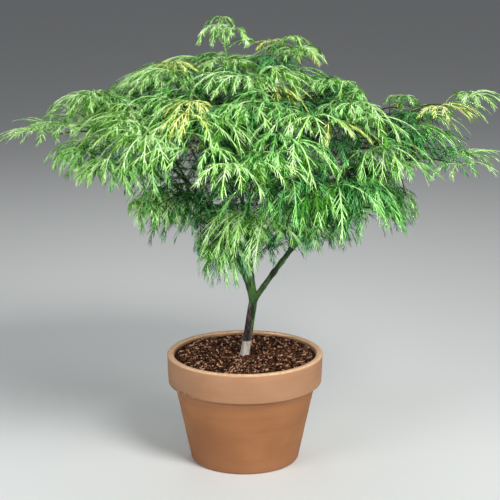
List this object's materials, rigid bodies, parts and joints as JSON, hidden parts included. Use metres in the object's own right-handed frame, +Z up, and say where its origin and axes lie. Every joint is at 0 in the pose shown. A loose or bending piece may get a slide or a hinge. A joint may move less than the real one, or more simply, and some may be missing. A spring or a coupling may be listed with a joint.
{
  "type": "potted laceleaf japanese maple",
  "caption": "Small laceleaf maple with a spreading, weeping crown of feathery green leaves, standing in a round clay pot filled with potting bark.",
  "frame": {"origin": "centre of the pot's flat underside, on the ground", "axes": "+Z up along the pot's axis, +X to the right and +Y to the back of the plant as the picture shows it"},
  "size_m": [0.9749, 0.8479, 0.847],
  "materials": {
    "clay": "matt unglazed terracotta, paler and pinker on the rim",
    "bark_chips": "damp red-brown bark chips",
    "bark": "rough dark grey-brown bark",
    "leaves": "soft satin leaf, yellow-green to blue-green"
  },
  "bodies": {
    "root": {"bough_back": "bark", "bough_back_left": "bark", "bough_back_right": "bark", "bough_far_right": "bark", "bough_front": "bark", "bough_front_left": "bark", "bough_front_right": "bark", "bough_high_left": "bark", "bough_high_right": "bark", "bough_inner_left": "bark", "bough_leader": "bark", "bough_left": "bark", "bough_low_back": "bark", "bough_low_front": "bark", "bough_low_left": "bark", "bough_low_right": "bark", "bough_mid_left": "bark", "bough_mid_right": "bark", "bough_right": "bark", "bough_shoulder": "bark", "bough_top_back": "bark", "bough_top_front": "bark", "bough_top_left": "bark", "bough_top_right": "bark", "bough_upper_front": "bark", "bough_upper_right": "bark", "mass_back": "leaves", "mass_back_left": "leaves", "mass_back_right": "leaves", "mass_far_right": "leaves", "mass_front": "leaves", "mass_front_left": "leaves", "mass_front_right": "leaves", "mass_high_left": "leaves", "mass_high_right": "leaves", "mass_inner_left": "leaves", "mass_leader": "leaves", "mass_left": "leaves", "mass_low_back": "leaves", "mass_low_front": "leaves", "mass_low_left": "leaves", "mass_low_right": "leaves", "mass_mid_left": "leaves", "mass_mid_right": "leaves", "mass_right": "leaves", "mass_shoulder": "leaves", "mass_top_back": "leaves", "mass_top_front": "leaves", "mass_top_left": "leaves", "mass_top_right": "leaves", "mass_upper_front": "leaves", "mass_upper_right": "leaves", "pot": "clay", "potting_bark": "bark_chips", "trunk": "bark"}
  },
  "joints": []
}
